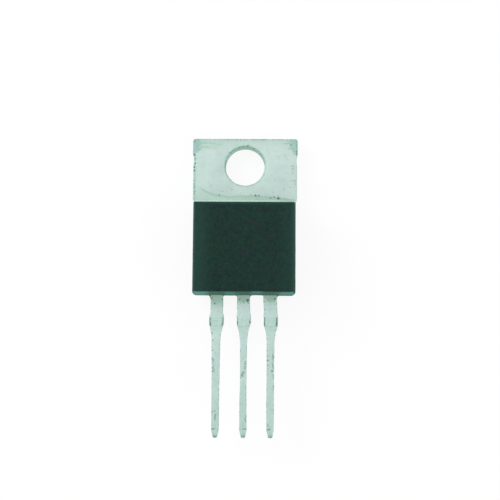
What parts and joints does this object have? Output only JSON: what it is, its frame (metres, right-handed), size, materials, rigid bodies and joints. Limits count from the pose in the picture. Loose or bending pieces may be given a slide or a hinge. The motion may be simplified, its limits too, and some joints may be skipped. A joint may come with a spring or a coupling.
{
  "type": "voltage regulator",
  "caption": "Through-hole power voltage regulator: a drafted moulded block on a metal tab with a screw hole, and a row of flat leads for a circuit board.",
  "frame": {"origin": "where the axis of the screw hole meets the seating face at the back of the tab", "axes": "+Z out of the front face, +Y up the tab and away from the leads, +X to the right as the front is seen; the part lies on its back"},
  "size_m": [0.0102, 0.0286, 0.0045],
  "materials": {
    "moulded_epoxy": "satin",
    "tinned_tab": "satin",
    "tinned_lead": "satin",
    "silicon": "polished",
    "solder": "satin",
    "bond_wire": "satin"
  },
  "bodies": {
    "root": {"moulded_body": "moulded_epoxy", "tab_with_ground_lead": "tinned_tab", "input_lead": "tinned_lead", "output_lead": "tinned_lead", "regulator_die": "silicon", "die_solder": "solder", "input_wire": "bond_wire", "output_wire_a": "bond_wire", "output_wire_b": "bond_wire", "ground_wire": "bond_wire"}
  },
  "joints": []
}
